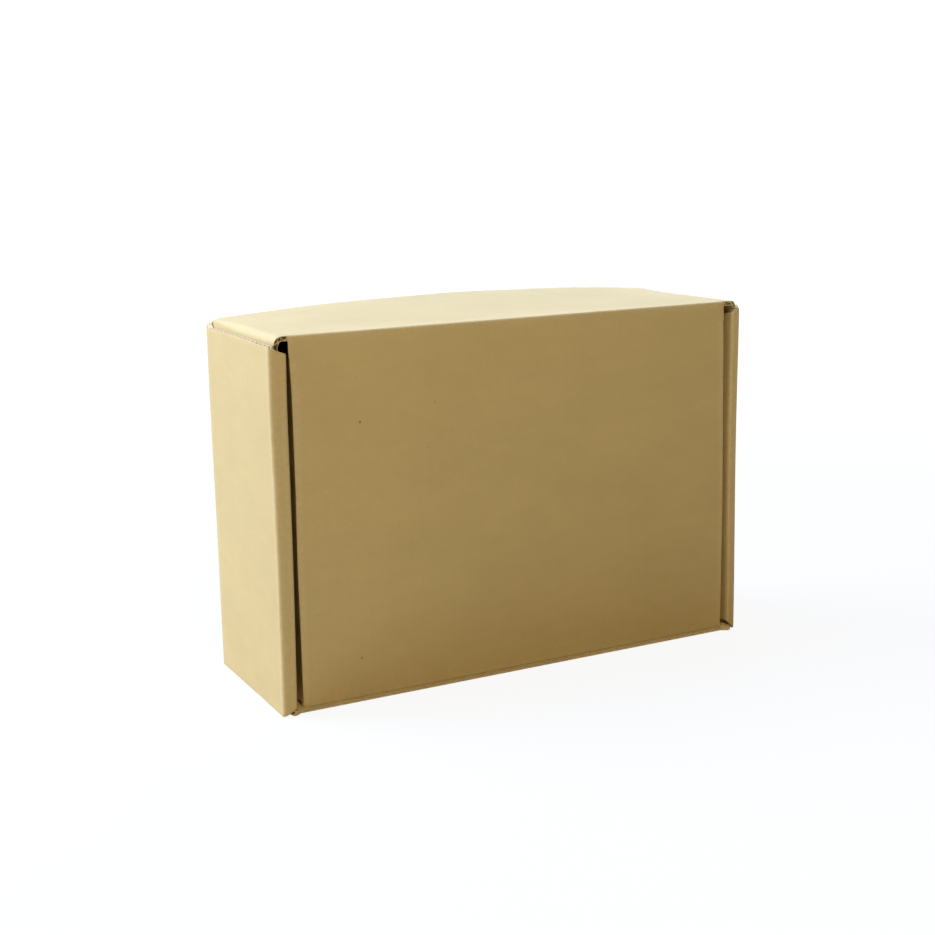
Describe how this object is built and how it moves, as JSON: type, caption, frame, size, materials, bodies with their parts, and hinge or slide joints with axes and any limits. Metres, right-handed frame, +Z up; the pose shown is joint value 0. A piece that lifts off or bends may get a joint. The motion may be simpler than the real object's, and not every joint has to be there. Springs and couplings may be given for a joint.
{
  "type": "cardboard box",
  "caption": "Closed mailer box of fluted kraft board, standing on its front wall, with rolled double side walls and a hinged lid that tucks in.",
  "frame": {"origin": "on the floor, in the middle of the box's width and depth", "axes": "+X along the lid's hinge, +Y from the lid to the base panel, +Z up"},
  "size_m": [0.31, 0.102, 0.2184],
  "materials": {
    "kraft_board": "matte"
  },
  "bodies": {
    "tray": {"tray": "kraft_board"},
    "lid": {"lid": "kraft_board"}
  },
  "joints": [
    {"name": "lid_hinge", "type": "hinge", "parent": "tray", "child": "lid", "pos_m": [0, -0.0495, 0.2115], "axis": [-1, 0, 0], "range_deg": [0, 180]}
  ]
}
